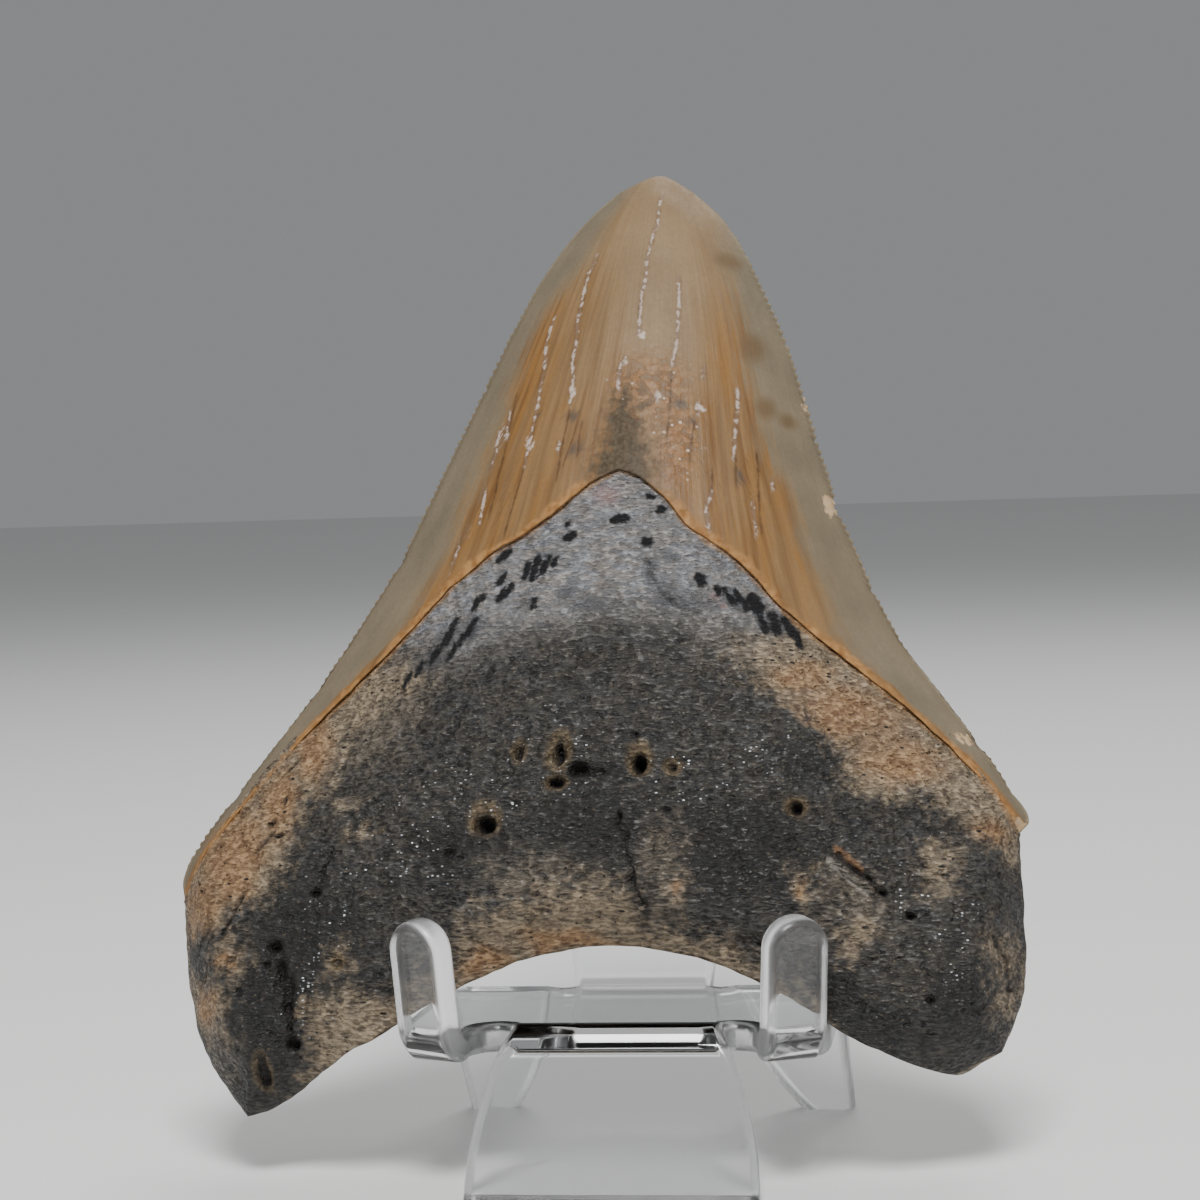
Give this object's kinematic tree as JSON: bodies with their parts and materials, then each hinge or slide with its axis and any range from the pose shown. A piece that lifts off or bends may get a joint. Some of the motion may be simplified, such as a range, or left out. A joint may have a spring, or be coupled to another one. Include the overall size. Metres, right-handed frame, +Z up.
{
  "type": "fossil shark tooth on display stand",
  "caption": "Large triangular fossil shark tooth with a serrated crown and a two-lobed root, leaning on a small easel of bent clear plastic.",
  "frame": {"origin": "middle of the bottom of the whole object's box, on the surface that the stand's feet rest on", "axes": "+Z up, -Y to the front, where the stand's two hooks are and the tooth shows its lingual face, +X to the right as seen from the front"},
  "size_m": [0.0908, 0.0516, 0.1064],
  "materials": {
    "fossil": "satin",
    "clear_plastic": "polished"
  },
  "bodies": {
    "root": {"tooth": "fossil", "display_stand": "clear_plastic"}
  },
  "joints": []
}
